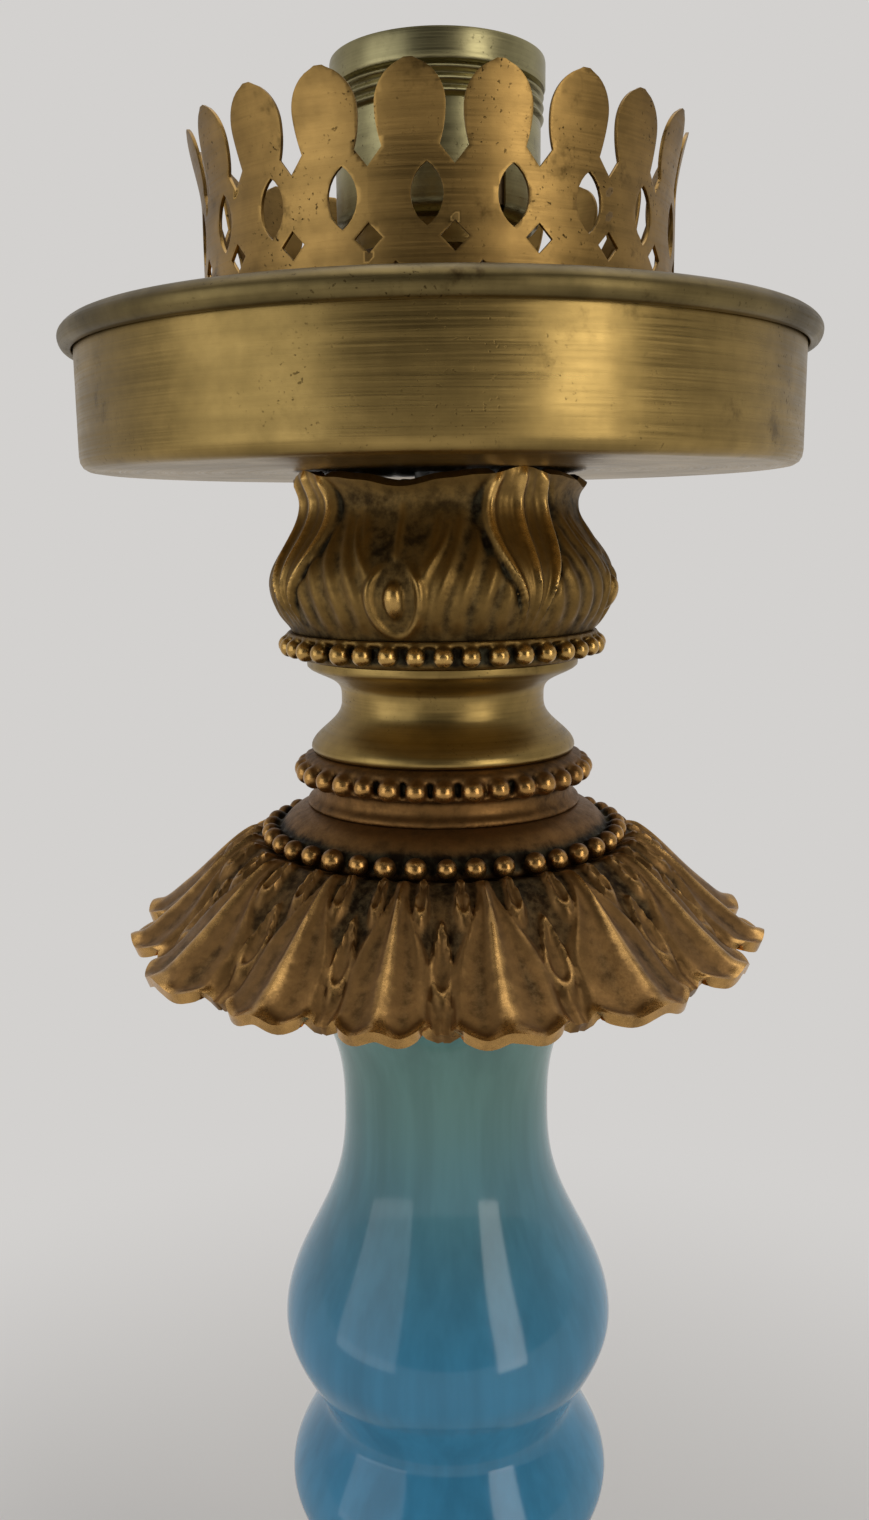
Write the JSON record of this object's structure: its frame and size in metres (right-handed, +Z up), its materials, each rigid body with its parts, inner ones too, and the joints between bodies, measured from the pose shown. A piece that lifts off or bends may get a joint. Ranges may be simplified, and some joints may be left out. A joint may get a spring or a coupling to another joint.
{
  "type": "table lamp",
  "caption": "Table lamp with a bulbed blue glass column between cast leaf skirts, a round spun drum, a pierced crown for a glass shade and a lamp socket.",
  "frame": {"origin": "centre of the base's underside, where the felt pad meets the table", "axes": "+Z up along the pipe, -Y to the side that the picture shows, +X to the right of that view"},
  "size_m": [0.152, 0.1536, 0.4598],
  "materials": {
    "felt": "short felt",
    "cast_bronze": "cast and antiqued, dark in the hollows and rubbed on the high spots",
    "bushing_plastic": "moulded",
    "iron": "rough cast",
    "steel": "zinc plated",
    "spun_brass": "satin, antiqued to olive brown",
    "gasket_rubber": "soft",
    "blue_glass": "cased opal, glossy",
    "socket_brass": "dull plated brass",
    "liner_board": "pressed fibre",
    "porcelain": "unglazed",
    "shell_aluminium": "rolled",
    "contact_brass": "bright"
  },
  "bodies": {
    "lamp": {"base_felt": "felt", "base_casting": "cast_bronze", "cord_bushing": "bushing_plastic", "base_weight": "iron", "bottom_washer": "steel", "bottom_nut": "steel", "threaded_pipe": "steel", "lower_dome": "cast_bronze", "lower_leaf_skirt": "cast_bronze", "lower_beaded_collar": "cast_bronze", "lower_vase_cap": "spun_brass", "lower_gasket": "gasket_rubber", "glass_column": "blue_glass", "upper_gasket": "gasket_rubber", "upper_vase_cap": "spun_brass", "skirt_dome": "cast_bronze", "leaf_skirt": "cast_bronze", "beaded_collar": "cast_bronze", "neck_spool": "spun_brass", "cup_bead_ring": "cast_bronze", "leaf_cup": "cast_bronze", "drum_pan": "spun_brass", "drum_lid": "spun_brass", "crown_gallery": "spun_brass", "gallery_rivets": "spun_brass", "top_washer": "steel", "top_nut": "steel", "socket_cap": "socket_brass", "hub_set_screw": "steel", "socket_shell": "socket_brass", "insulating_liner": "liner_board", "socket_insulator": "porcelain", "terminal_screws": "steel", "screw_shell": "shell_aluminium", "contact_spring": "steel"},
    "contact": {"contact_plunger": "contact_brass"}
  },
  "joints": [
    {"name": "contact_travel", "type": "slide", "parent": "lamp", "child": "contact", "axis": [0, 0, -1], "range_m": [0, 0.0015], "stiffness_N_per_m": 900, "springref_m": -0.001, "deforming": ["contact_spring"]}
  ]
}
